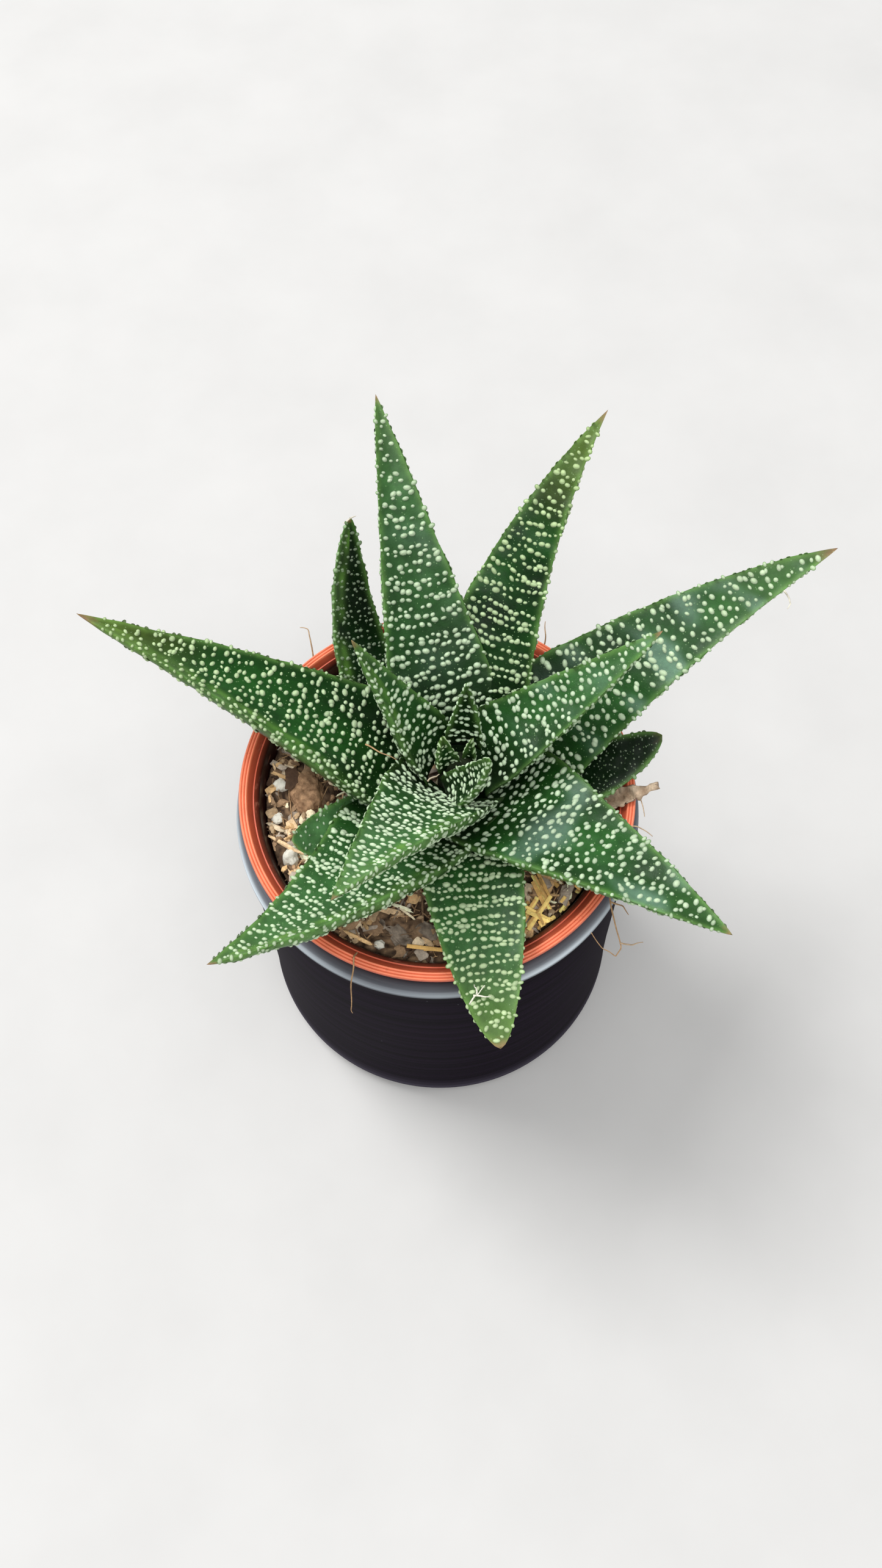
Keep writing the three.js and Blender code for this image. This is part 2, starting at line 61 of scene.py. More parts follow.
# Leaves, youngest first: where each leaves the stem, the compass angle it grows towards and
# how far that has swung at the tip, its slope at foot and tip, its size, the roll of its face
# at the foot and how much more at the tip, and the fullness and sharpness of its outline.
# Then its looks: pitch is the distance between rows of warts, step the distance between warts
# that touch, size a wart's width, run the chance that the next wart in a row touches, gap the
# mean distance between runs. pale lightens the skin, or darkens it below 0: partly the leaf's own
# tone and partly painted light and painted shade, darker on leaves that lie in shade. gold yellows
# the tip, sear is the brown tip's length, char how black it is, chalk how white the warts are,
# painted_sheen how much painted sheen, a pale grey that stands for the window lamp's reflection,
# lies on the upper face, and ridge the side, -1 the left and 1 the right, on which a bright ridge
# runs inside the margin.
LEAVES = [
    dict(name="leaf_heart_tall", foot=(3.9, 2.6, 71.5), heading=80, turn=4, rise=(65, 79),
         length=13, width=6.2, thick=2.6, taper=(1.05, 0.9), pitch=1.15, step=0.8,
         size=0.74, run=0.65, gap=0.6, sear=0.3, pale=-0.95, gold=0, chalk=1.25),
    dict(name="leaf_heart_small", foot=(2, 0, 69.8), heading=129, turn=0, rise=(73, 83),
         length=8.2, width=4, thick=2, roll=(10, 0), taper=(1.15, 0.9), pitch=0.99, step=0.64,
         size=0.56, run=0.6, gap=0.49, pale=-0.5, sear=0.2, chalk=1.2),
    dict(name="leaf_heart_sliver", foot=(4.6, 0.9, 70), heading=60, turn=0, rise=(76, 86),
         length=6.5, width=2.4, thick=1.4, taper=(1.1, 0.9), pitch=0.96, step=0.64,
         size=0.48, run=0.5, gap=0.49, pale=-0.4, sear=0.2, chalk=1.1),
    dict(name="leaf_heart_curled", foot=(0.3, -4, 69.3), heading=-15, turn=0, rise=(56, 74),
         length=17, width=6.4, thick=3.6, roll=(-19, -6), taper=(1.4, 0.8), pitch=1, step=0.85,
         size=0.8, run=0.6, gap=0.5, pale=-0.5, sear=0.4, gold=0.1, chalk=1.15),
    dict(name="leaf_left_inner", foot=(1.3, 1.7, 69.8), heading=143, turn=2, rise=(51, 50),
         length=24.5, width=12, thick=4.4, roll=(-10, -3), taper=(0.85, 0.9), pitch=1.12,
         step=0.93, size=0.9, run=0.45, gap=0.6, pale=0.3, ridge=-1, gold=0.1, chalk=1.2),
    dict(name="leaf_front_left_inner", foot=(2.7, -0.4, 69.2), heading=-121, turn=5,
         rise=(42, 32), length=41, width=18.5, thick=5.2, roll=(-3, -7), taper=(0.95, 0.95),
         pitch=1.02, step=0.9, size=0.86, run=0.3, gap=0.52, pale=1, ridge=-1, gold=0.1,
         chalk=1.25),
    dict(name="leaf_right_inner", foot=(4.8, 2.2, 69.2), heading=19, turn=3, rise=(31, 33),
         length=34, width=15, thick=4.5, roll=(-2, 0), taper=(0.85, 0.85), pitch=1.12, step=0.95,
         size=0.88, run=0.2, gap=0.66, pale=0.45, gold=0.05, painted_sheen=0.5, chalk=1.08),
    dict(name="leaf_back_tall", foot=(3.4, 3.4, 67), heading=106, turn=-3, rise=(40, 30),
         length=54, width=20, thick=4.7, roll=(-8, -4), taper=(0.95, 0.9), pitch=1.3, step=0.92,
         size=0.92, run=0.4, gap=0.7, pale=0.6, gold=0.1, painted_sheen=0.4, chalk=1.1),
    dict(name="leaf_front_right_broad", foot=(5.4, 0.2, 66.4), heading=-42, turn=2, rise=(23, 4),
         length=45.5, width=24, thick=5, roll=(4, 4), taper=(0.95, 0.85), pitch=1.12, step=1.15,
         size=0.95, run=0.2, gap=0.58, pale=0.25, gold=0.05, painted_sheen=0.8),
    dict(name="leaf_front_left_long", foot=(-0.3, -0.7, 65.2), heading=-124, turn=-20,
         rise=(10, 24), length=45.5, width=25, thick=6, roll=(-12, -22), taper=(1.1, 0.95),
         pitch=1.06, step=0.92, size=0.84, run=0.55, gap=0.5, pale=0.65, ridge=-1, gold=0.15,
         chalk=1.18),
    dict(name="leaf_front", foot=(3.7, -3, 65.2), heading=-85, turn=3, rise=(11, -7), length=38,
         width=16, thick=4, taper=(1.75, 0.65), pitch=1.12, step=0.88, size=0.86,
         run=0.72, gap=0.42, gold=0.45, pale=0.6, chalk=1.12),
    dict(name="leaf_left_long", foot=(0.7, 1.8, 64.2), heading=159.5, turn=6, rise=(27, 17),
         length=58, width=23, thick=6, roll=(-12, -14), taper=(1.2, 0.95), pitch=1.28, step=1,
         size=0.94, run=0.4, gap=0.78, gold=0.5, sear=4, ridge=-1, pale=-0.15, chalk=1.06),
    dict(name="leaf_back_right", foot=(3.8, 3.6, 64.2), heading=77, turn=-30, rise=(42, 28),
         length=56.5, width=18, thick=4.5, roll=(-2, 0), taper=(1.15, 0.95), pitch=1.28,
         step=0.95, size=0.87, run=0.75, gap=0.71, gold=0.6, sear=3, pale=-0.4),
    dict(name="leaf_right_long", foot=(6.3, 1.6, 63.9), heading=32.5, turn=-15, rise=(29.5, 15),
         length=62, width=22.5, thick=4.5, roll=(-15, 0), taper=(0.95, 0.85), pitch=1.27,
         step=1.05, size=0.98, run=0.25, gap=0.77, gold=0.15, sear=4, pale=0.3, painted_sheen=0.8,
         chalk=1.1),
    dict(name="leaf_right_low", foot=(6.3, -0.2, 63), heading=-4, turn=29, rise=(7, 24),
         length=29, width=12, thick=4.2, taper=(2.1, 0.6), pitch=0.83, step=0.55,
         size=0.34, run=0.3, gap=0.67, pale=-1.05, chalk=0.35, gold=0, sear=1.4, char=1),
    dict(name="leaf_back_left_small", foot=(0.6, 3, 61), heading=135.4, turn=-53.9, rise=(3, 52),
         length=44.6, width=13.2, thick=4, roll=(-8, -34), taper=(1.35, 0.64), pitch=1.05,
         step=0.8, size=0.62, run=0.5, gap=0.5, pale=-0.9, chalk=0.5, ridge=-1, gold=0, sear=0.6),
    dict(name="leaf_left_low", foot=(1.2, -0.8, 60.8), heading=-155, turn=-9, rise=(0, 27),
         length=25, width=13.5, thick=3, roll=(15, 5), taper=(2.05, 0.6), pitch=1.2, step=0.8,
         size=0.52, run=0.4, gap=0.7, pale=0.9, chalk=0.8, gold=0, sear=0.5),
]
DRY_LEAF = dict(name="leaf_dry", foot=(9, -2, 61.2), heading=-8, turn=18, rise=(4, 22),
                length=24.5, width=7.5, thick=1.4, taper=(1.2, 0.75))

# Grit: its place on the soil and its half sizes, or for bark its sizes and heading.
PERLITE = [((-24, 2.4), (1.3, 1.1, 1)), ((-24.3, -3), (1, 0.9, 0.8)),
           ((-22, -9.2), (1.2, 1.9, 1.2)), ((-8.8, -23.4), (0.8, 0.7, 0.7))]
PEAT_LUMP = ((-19.9, 0.8), (2.6, 3.4, 1.6))
BARK_CHIPS = [((-6.2, -21.6), (2.6, 6.8, 1.2), 36), ((-1.8, -21.4), (2.2, 3.4, 1.4), 60),
              ((-17.6, 15.8), (3.4, 2, 1.2), 20)]
# Stiff straws: their place, length and heading.
STRAW = dict(radius=0.43, lift=0.4)
STRAWS = [((13.2, -17.2), 8, 62), ((17.4, -14.4), 6, -48)]

# Bundles of split straw: from, to, spread and number of strands.
STRAW_BUNDLES = [((14.4, -13.5), (16.1, -17.8), 0.9, 9), ((12, -21.3), (15.2, -16.5), 0.8, 6),
                 ((12.4, -18.3), (17.9, -22.1), 0.4, 5), ((14.6, -19.9), (15.8, -22.7), 0.7, 6),
                 ((18.1, -18.6), (18.9, -17.3), 0.6, 5), ((20.2, -15.7), (22.6, -17.4), 0.5, 5),
                 ((-4.5, -24.5), (1.5, -25), 0.5, 2)]

# Dead root hairs over the rims and on the leaves: how bleached, and the way each one takes.
ROOT_HAIRS = [
    (0, [(22.5, -14.3, 61.5), (24.6, -16.6, 64), (25, -19.6, 63), (25.6, -22, 61.2),
         (26.4, -24.4, 59.5), (25.6, -25.2, 58.6), (23.6, -24.4, 59.6), (21.9, -22.9, 62.4)]),
    (0, [(24.8, -18.6, 63.4), (26.6, -19.1, 63.2), (27.3, -20.4, 62.6)]),
    (0.2, [(26.2, -23.6, 60), (27.9, -24.2, 60.4), (29.4, -23.9, 60.8)]),
    (0, [(-11.6, -24.2, 61.6), (-12.2, -26.4, 63.7), (-12.6, -29, 62), (-12.9, -32.1, 59),
         (-12.8, -32.4, 57)]),
    (0.1, [(-19, 22.6, 63), (-19.5, 24.6, 66.2), (-19.7, 26.6, 67.2), (-21.2, 27, 67.2)]),
    (0, [(17.2, 23.4, 64), (17.5, 25, 66.6), (17.6, 27.2, 67.2)]),
    (0.2, [(28.4, -1.6, 64), (30.2, -2.6, 65.2), (30.7, -5.6, 64.6)]),
    (0.2, [(27.6, -6.2, 62.6), (29.3, -7.1, 64.6), (31.8, -8.6, 63.8)]),
    (0, [(-10.3, 3.9, 71), (-8, 2.2, 71.6), (-5.8, 1.3, 71)]),
    (0.4, [(-1.4, -2.5, 71.2), (-0.4, -1.7, 71.4), (0.5, -1.4, 71.2)]),
    (0.8, [(50.3, 20.7, 84.1), (51.2, 19.8, 83.4), (51.4, 18.8, 83.2), (50.7, 18.2, 83.3)]),
    (0.7, [(-13.3, 36.9, 80.5), (-12.4, 37.4, 81), (-11.4, 37.7, 81.3)]),
    (1, [(4, -34.5, 67.2), (4.6, -33.4, 67.5), (5.2, -33.1, 67.5), (6.2, -31.9, 67.2)]),
    (1, [(4.5, -33.3, 67.4), (5.9, -33.6, 67.5), (7, -33.4, 67.3)]),
    (1, [(4.9, -33.2, 67.4), (4.9, -32.3, 67.5), (4.6, -31.7, 67.2)]),
]


def srgb(red, green, blue):
    """Linear colour from display values of 0 to 255."""
    shares = np.array([red, green, blue]) / 255
    return np.where(shares <= 0.04045, shares / 12.92, ((shares + 0.055) / 1.055) ** 2.4)


# --- number helpers


def mix(first, second, share):
    """first turned into second by share, for arrays of colours or points."""
    share = np.asarray(share)[..., None]
    return first * (1 - share) + second * share


def smooth_step(low, high, value):
    """0 below low and 1 above high, with a soft rise between them."""
    share = np.clip((value - low) / (high - low), 0, 1)
    return share * share * (3 - 2 * share)


def unit(vectors):
    return vectors / np.maximum(np.linalg.norm(vectors, axis=-1, keepdims=True), 1e-9)


def bell(distance, width):
    """1 at no distance, fading softly within a width."""
    return np.exp(-((distance / width) ** 2))


def ripple(points, wavelength, seed, waves=7):
    """Smooth noise of about -1 to 1 at points: crossed waves in seeded directions."""
    draw = np.random.default_rng(seed)
    directions = unit(draw.normal(size=(waves, 3))) * (math.tau / wavelength)
    directions *= draw.uniform(0.7, 1.4, size=(waves, 1))
    phases = draw.uniform(0, math.tau, waves)
    return np.sin(points @ directions.T + phases).sum(axis=-1) / math.sqrt(waves)


def mottled(first, second, points, wavelength, seed, middle=0.4, waves=7):
    """Clouds of two colours; middle is the mean share of the second."""
    share = middle + 0.4 * ripple(points, wavelength, seed, waves)
    return mix(first, second, np.clip(share, 0, 1))


# --- mesh helpers


def circle(steps):
    """Angles in even steps once round."""
    return np.arange(steps) * math.tau / steps


class Pile:
    """Shapes gathered into one mesh, each with tints of its own."""

    def __init__(self):
        self.points, self.tints, self.faces = [], [], []
        self.count = 0

    def add(self, points, faces, tint):
        """faces is a list of blocks; tint is one colour or one for each point."""
        points = np.asarray(points, float).reshape(-1, 3)
        self.points.append(points)
        self.tints.append(np.broadcast_to(tint, points.shape))
        for block in faces:
            self.faces.extend((np.asarray(block) + self.count).tolist())
        self.count += len(points)

    def build(self, name, material, sharp_angle=None):
        mesh = bpy.data.meshes.new(name)
        mesh.from_pydata((np.concatenate(self.points) * MM).tolist(), [], self.faces)
        mesh.validate()
        colours = np.ones((self.count, 4), np.float32)
        colours[:, :3] = np.clip(np.concatenate(self.tints), 0, 1)
        attribute = mesh.attributes.new("tint", "FLOAT_COLOR", "POINT")
        attribute.data.foreach_set("color", colours.ravel())
        mesh.shade_smooth()
        if sharp_angle:
            mesh.set_sharp_from_angle(angle=math.radians(sharp_angle))
        mesh.materials.append(material)
        piece = bpy.data.objects.new(name, mesh)
        bpy.context.scene.collection.objects.link(piece)
        return piece


def dress(piece, slot, *nodes):
    """The piece rides on the part and stands for the nodes, which it hides; slot is not used."""
    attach(piece, "root")
    if nodes:
        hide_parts(*nodes)


def stand_in(node, slot, name, points, faces, tint, material, sharp_angle=None):
    """A piece of one shape that stands for a node."""
    pile = Pile()
    pile.add(points, faces, tint)
    dress(pile.build(name, material, sharp_angle), slot, node)


def grid_faces(rows, columns):
    """Quads between rings of points, the last column joined to the first."""
    here = np.arange(rows * columns).reshape(rows, columns)
    after = np.roll(here, -1, axis=1)
    return np.stack([here[:-1], after[:-1], after[1:], here[1:]], axis=-1).reshape(-1, 4)


def turned(profile, steps=RING_STEPS):
    """Points and faces of a body turned about Z; the profile starts and ends on the axis."""
    radii, heights = np.array(profile, float).T
    turn = circle(steps)
    inner = np.stack([
        radii[1:-1, None] * np.cos(turn),
        radii[1:-1, None] * np.sin(turn),
        np.repeat(heights[1:-1, None], steps, axis=1),
    ], axis=-1).reshape(-1, 3)
    points = np.vstack([inner, [[0, 0, heights[0]], [0, 0, heights[-1]]]])
    rows = len(radii) - 2
    around = np.arange(steps)
    after = (around + 1) % steps
    bottom = np.stack([np.full(steps, rows * steps), after, around], axis=-1)
    last = (rows - 1) * steps
    top = np.stack([np.full(steps, rows * steps + 1), last + around, last + after], axis=-1)
    return points, [grid_faces(rows, steps), bottom, top]


def arc(radius, height, size, start, end, steps):
    """Profile points on an arc about (radius, height), from start to end degrees."""
    angles = np.radians(np.linspace(start, end, steps + 1))
    return [(radius + size * math.cos(a), height + size * math.sin(a)) for a in angles]


def tube(path, radius, sides=5):
    """Closed tube along a path; radius is one number or one for each point."""
    path = np.asarray(path, float)
    radius = np.broadcast_to(radius, len(path))
    along = unit(np.gradient(path, axis=0))
    side = unit(np.cross(along, [0.31, 0.17, 0.93]))
    other = np.cross(along, side)
    angle = circle(sides)
    ring = (np.cos(angle)[None, :, None] * side[:, None]
            + np.sin(angle)[None, :, None] * other[:, None])
    points = (path[:, None] + ring * radius[:, None, None]).reshape(-1, 3)
    last = (len(path) - 1) * sides
    return points, [grid_faces(len(path), sides),
                    [list(range(sides))[::-1]], [list(range(last, last + sides))]]


def rounded_stone(detail):
    """Points and faces of a unit ball, the start of every pebble, crumb and flake."""
    shape = bmesh.new()
    bmesh.ops.create_icosphere(shape, subdivisions=detail, radius=1)
    points = np.array([v.co for v in shape.verts])
    faces = [[v.index for v in f.verts] for f in shape.faces]
    shape.free()
    return points, [faces]


def turn_matrix(rng):
    """A random turn, as a 3 by 3 matrix."""
    matrix, _ = np.linalg.qr(rng.normal(size=(3, 3)))
    return matrix * np.sign(np.linalg.det(matrix))


# --- materials


class Finish:
    """A node material on one Principled shader, built up step by step."""

    def __init__(self, name, specular=0.5, coat=0.0, coat_roughness=0.1, subsurface=0.0):
        self.material = bpy.data.materials.new(name)
        self.material.use_nodes = True
        self.tree = self.material.node_tree
        self.shader = self.tree.nodes["Principled BSDF"]
        for socket, value in {
            "Specular IOR Level": specular, "Coat Weight": coat, "Coat Roughness": coat_roughness,
            "Subsurface Weight": subsurface, "Subsurface Radius": (0.6, 1.0, 0.35),
            "Subsurface Scale": 1.2 * MM,
        }.items():
            self.shader.inputs[socket].default_value = value
        self.place = self.add("ShaderNodeTexCoord").outputs["Object"]
        self.normal = None

    def add(self, kind, **values):
        node = self.tree.nodes.new(kind)
        for name, value in values.items():
            setattr(node, name, value)
        return node

    def link(self, source, target):
        self.tree.links.new(source, target)

    def noise(self, size, detail=4, roughness=0.55, stretch=(1, 1, 1)):
        """Noise with features of about size millimetres, stretched along the axes."""
        squeeze = self.add("ShaderNodeMapping")
        squeeze.inputs["Scale"].default_value = [1 / share for share in stretch]
        self.link(self.place, squeeze.inputs["Vector"])
        node = self.add("ShaderNodeTexNoise")
        node.inputs["Scale"].default_value = 1 / (size * MM)
        node.inputs["Detail"].default_value = detail
        node.inputs["Roughness"].default_value = roughness
        self.link(squeeze.outputs["Vector"], node.inputs["Vector"])
        return node.outputs["Fac"]

    def remap(self, value, low, high, to_low, to_high):
        node = self.add("ShaderNodeMapRange")
        for index, number in enumerate((low, high, to_low, to_high), start=1):
            node.inputs[index].default_value = number
        self.link(value, node.inputs["Value"])
        return node.outputs["Result"]

    def blend(self, share, first, second, how="MIX"):
        """Colours mixed by share; a colour is a socket or three numbers."""
        node = self.add("ShaderNodeMix", data_type="RGBA", blend_type=how)
        for value, index in ((share, 0), (first, 6), (second, 7)):
            socket = node.inputs[index]
            if isinstance(value, bpy.types.NodeSocket):
                self.link(value, socket)
            elif socket.type == "RGBA":
                socket.default_value = (*value, 1)
            else:
                socket.default_value = value
        return node.outputs[2]

    def tint(self):
        return self.add("ShaderNodeAttribute", attribute_name="tint").outputs["Color"]

    def specks(self, size, spacing):
        """1 on round specks of a size, scattered at a spacing, and 0 between them."""
        node = self.add("ShaderNodeTexVoronoi")
        node.inputs["Scale"].default_value = 1 / (spacing * MM)
        self.link(self.place, node.inputs["Vector"])
        reach = size / (2 * spacing)
        return self.remap(node.outputs["Distance"], 0.6 * reach, reach, 1, 0)

    def bump(self, height, depth, strength=1.0):
        """Relief of about depth millimetres from a height of 0 to 1."""
        node = self.add("ShaderNodeBump")
        node.inputs["Strength"].default_value = strength
        node.inputs["Distance"].default_value = depth * MM
        self.link(height, node.inputs["Height"])
        if self.normal:
            self.link(self.normal, node.inputs["Normal"])
        self.normal = node.outputs["Normal"]

    def done(self, colour, roughness):
        """The finished material, from its colour and roughness sockets."""
        self.link(colour, self.shader.inputs["Base Color"])
        self.link(roughness, self.shader.inputs["Roughness"])
        if self.normal:
            self.link(self.normal, self.shader.inputs["Normal"])
        return self.material


def leaf_finish():
    """Waxy skin: cloudy green, tiny pale specks and a grain of minute cells."""
    skin = Finish("haworthia_skin", specular=0.14, coat=0.07, coat_roughness=0.3, subsurface=0.1)
    cloudy = skin.remap(skin.noise(1.6, detail=5), 0.25, 0.75, 0.72, 1.25)
    colour = skin.blend(1.0, skin.tint(), cloudy, "MULTIPLY")
    specks = skin.specks(0.2, 0.6)
    colour = skin.blend(skin.remap(specks, 0, 1, 0, 0.4), colour, srgb(150, 185, 130))
    skin.bump(skin.noise(0.22, detail=2), 0.03)
    skin.bump(skin.noise(2.4, detail=2), 0.12, 0.6)
    return skin.done(colour, skin.remap(skin.noise(0.5), 0.3, 0.7, 0.3, 0.5))


def glaze_finish():
    """Near-black glaze over fine throwing lines, with faint dust."""
    glaze = Finish("black_glaze", specular=0, coat=0.07, coat_roughness=0.08)
    lines = glaze.noise(1.3, detail=3, stretch=(90, 90, 1))
    glaze.bump(lines, 0.06, 0.5)
    dust = glaze.remap(glaze.specks(0.35, 5), 0, 1, 0, 0.4)
    colour = glaze.blend(1.0, glaze.tint(), glaze.remap(lines, 0.35, 0.65, 0.55, 1.5), "MULTIPLY")
    colour = glaze.blend(dust, colour, srgb(110, 110, 115))
    return glaze.done(colour, glaze.remap(glaze.noise(3), 0.3, 0.7, 0.16, 0.3))


def plastic_finish():
    """Moulded orange-red plastic, scuffed and dusted with dried peat."""
    plastic = Finish("orange_plastic", specular=0.5)
    cloudy = plastic.remap(plastic.noise(3.5), 0.3, 0.7, 0.88, 1.08)
    colour = plastic.blend(1.0, plastic.tint(), cloudy, "MULTIPLY")
    scuffs = plastic.noise(0.5, detail=3, stretch=(5, 5, 1))
    colour = plastic.blend(plastic.remap(scuffs, 0.62, 0.8, 0, 0.35), colour, srgb(244, 160, 130))
    dirt = plastic.remap(plastic.noise(1.1, detail=6, roughness=0.7), 0.6, 0.75, 0, 0.4)
    colour = plastic.blend(dirt, colour, srgb(120, 56, 38))
    plastic.bump(plastic.noise(0.3, detail=3), 0.03, 0.7)
    return plastic.done(colour, plastic.remap(scuffs, 0.35, 0.7, 0.34, 0.6))


def rough_finish(name, grain, relief, low=0.75, high=1.25, stretch=(1, 1, 1)):
    """Dull natural matter: the tint broken up by grain of a size, with some relief."""
    rough = Finish(name, specular=0.3)
    coarse = rough.remap(rough.noise(grain * 3, detail=5, stretch=stretch), 0.3, 0.7, low, high)
    fine = rough.noise(grain, detail=6, roughness=0.7, stretch=stretch)
    colour = rough.blend(1.0, rough.tint(), coarse, "MULTIPLY")
    colour = rough.blend(1.0, colour, rough.remap(fine, 0.3, 0.7, low, high), "MULTIPLY")
    rough.bump(fine, relief)
    return rough.done(colour, rough.remap(fine, 0.3, 0.7, 0.75, 0.98))


# --- leaves

SPINE_STEPS = 96
MARGIN = 1.03  # the margin stands this much outside the section's half width
LOWER_FULLNESS = 0.84
SKIN_PITCH, SKIN_COLUMNS = 0.5, 56  # distance between a skin's rings, and points on each

DEEP_GREEN = srgb(6, 36, 5)
MID_GREEN = srgb(28, 82, 24)
PALE_GREEN = srgb(90, 134, 84)
GOLD_GREEN = srgb(118, 138, 58)
SHEEN_GREY = srgb(124, 156, 138)
MARGIN_GREEN = srgb(104, 148, 74)
RIDGE_GREEN = srgb(100, 148, 60)
FOOT_SHADE = srgb(12, 20, 8)
TIP_BROWN = srgb(140, 104, 80)
CHALK = srgb(184, 205, 172)
CHALK_GOLD = srgb(170, 196, 108)

STYLE = dict(pitch=1.8, step=1.1, size=1.0, run=0.3, gap=1.6, pale=0.0, gold=0.35, sear=1.8,
             chalk=1.0, ridge=0, char=0, painted_sheen=0)


def across_face(phase):
    """-1 at the left margin and 1 at the right, on both faces."""
    return np.where(phase > 1, np.cos(np.pi * (phase - 1)), -np.cos(np.pi * phase))


class Leaf:
    """The form of one leaf. t runs from its foot to its tip. phase runs from 0 at the left
    margin over the channelled upper face to 1 at the right, and back under it to 2."""

    def __init__(self, name, foot, heading, turn, rise, length, width, thick, taper, roll=(0, 0),
                 **looks):
        self.name, self.length, self.width, self.thick = name, length, width, thick
        self.heading, self.turn, self.rise, self.taper = heading, turn, rise, taper
        self.looks = STYLE | looks
        t = np.linspace(0, 1, SPINE_STEPS + 1)
        along = self.direction(t)
        level = unit(np.cross(along, [0, 0, 1]))
        tilt = -np.radians(roll[0] + roll[1] * t)[:, None]
        self.right = level * np.cos(tilt) + np.cross(along, level) * np.sin(tilt)
        self.face = np.cross(self.right, along)
        strides = self.direction(t[:-1] + 0.5 / SPINE_STEPS) * length / SPINE_STEPS
        self.at = np.array(foot) + np.vstack([[0, 0, 0], np.cumsum(strides, axis=0)])

    def direction(self, t):
        """The way that the middle line runs."""
        heading = np.radians(self.heading + self.turn * t)
        rise = np.radians(self.rise[0] + (self.rise[1] - self.rise[0]) * t)
        return np.stack([np.cos(rise) * np.cos(heading), np.cos(rise) * np.sin(heading),
                         np.sin(rise)], axis=-1)

    def half_width(self, t):
        fullness, sharpness = self.taper
        half = self.width / 2 * np.clip(1 - t ** fullness, 0, 1) ** sharpness
        return half * (1 - 0.15 * bell(t, 0.12))

    def section(self, t, phase):
        """Sideways and upward distance from the middle line."""
        depth = self.thick * np.clip(1 - t ** 1.5, 0, 1) ** 0.8 * (1 - 0.45 * bell(t, 0.15))
        clasp = 0.12 * self.width * bell(t, 0.16)
        under = phase > 1
        across = across_face(phase)
        bulge = np.clip(np.sin(np.pi * (phase - 1)), 0, 1) ** LOWER_FULLNESS
        upward = np.where(under, -bulge * depth - clasp * (1 - across ** 2),
                          -(0.22 * depth + clasp) * (1 - across ** 2))
        return across * MARGIN * self.half_width(t), upward

    def skin(self, t, phase):
        """Points on the plain form."""
        t, phase = np.broadcast_arrays(np.clip(t, 0, 1), phase)
        step = t * SPINE_STEPS
        near = np.minimum(step.astype(int), SPINE_STEPS - 1)
        share = step - near
        sideways, upward = self.section(t, phase)
        place = mix(self.at[near], self.at[near + 1], share)
        place += mix(self.right[near], self.right[near + 1], share) * sideways[..., None]
        return place + mix(self.face[near], self.face[near + 1], share) * upward[..., None]

    def normals(self, t, phase):
        further = self.skin(np.minimum(t + 0.01, 1), phase)
        ahead = further - self.skin(np.maximum(t - 0.01, 0), phase)
        before, after = np.mod(phase - 0.03, 2), np.mod(phase + 0.03, 2)
        return unit(np.cross(self.skin(t, after) - self.skin(t, before), ahead))

    def surface(self, t, phase):
        """The skin with its slow dents and swellings."""
        place, out = self.skin(t, phase), self.normals(t, phase)
        swell = 0.1 * ripple(place, 7, 5) + 0.05 * ripple(place, 3, 6)
        return place + out * (swell * smooth_step(0, 0.12, 1 - t))[..., None]

    def colour(self, t, phase, place):
        """Colour of the skin between its warts."""
        looks = self.looks
        across = across_face(phase)
        tint = mix(DEEP_GREEN, MID_GREEN, np.clip(0.5 + 0.3 * ripple(place, 11, 7), 0, 1))
        # pale is partly the leaf's own tone and partly painted light and shade: leaves that lie in
        # shade are painted darker, and the paler ones lighter towards the tip than at the shaded
        # foot.
        if looks["pale"] > 0:
            tint = mix(tint, PALE_GREEN, 0.6 * looks["pale"] * smooth_step(0, 0.9, t))
        else:
            tint = tint * (1 + 0.8 * looks["pale"])
        # Painted sheen: pale grey patches on the upper face that stand for the reflection of the
        # window lamp.
        painted_sheen = looks["painted_sheen"] * smooth_step(0.1, 1.3, ripple(place, 10, 10)) * (phase < 1)
        tint = mix(tint, SHEEN_GREY, 0.6 * painted_sheen * smooth_step(0.15, 0.4, t))
        inset = (1 - np.abs(across)) * self.half_width(t)
        tint = mix(tint, MARGIN_GREEN, 0.55 * bell(inset, 0.55))
        ridge = bell(inset - 1.4, 0.7) * (phase < 1) * (across * looks["ridge"] > 0)
        ridge *= smooth_step(0.1, 0.5, t) * (0.42 + 0.25 * ripple(place, 4, 8))
        tint = mix(tint, RIDGE_GREEN, np.clip(ridge, 0, 1))
        tint = mix(tint, GOLD_GREEN, 0.7 * looks["gold"] * smooth_step(0.62, 0.97, t))
        # Painted shade: near-black green fading in towards each leaf's foot, where the leaves
        # crowd round the stem, over some of the foot's own darker tone.
        tint = mix(tint, FOOT_SHADE, 0.8 * bell(t, 0.25))
        to_tip = (1 - t) * self.length + 0.3 * ripple(place, 1.5, 9)
        withered = TIP_BROWN * (1 - 0.85 * looks["char"])
        return mix(tint, withered, smooth_step(0, looks["sear"], looks["sear"] - to_tip))


def skin_grid(t, columns):
    """t and phase of the points of a skin, with a ring of columns at each t."""
    return np.meshgrid(t, np.arange(columns) * 2 / columns, indexing="ij")


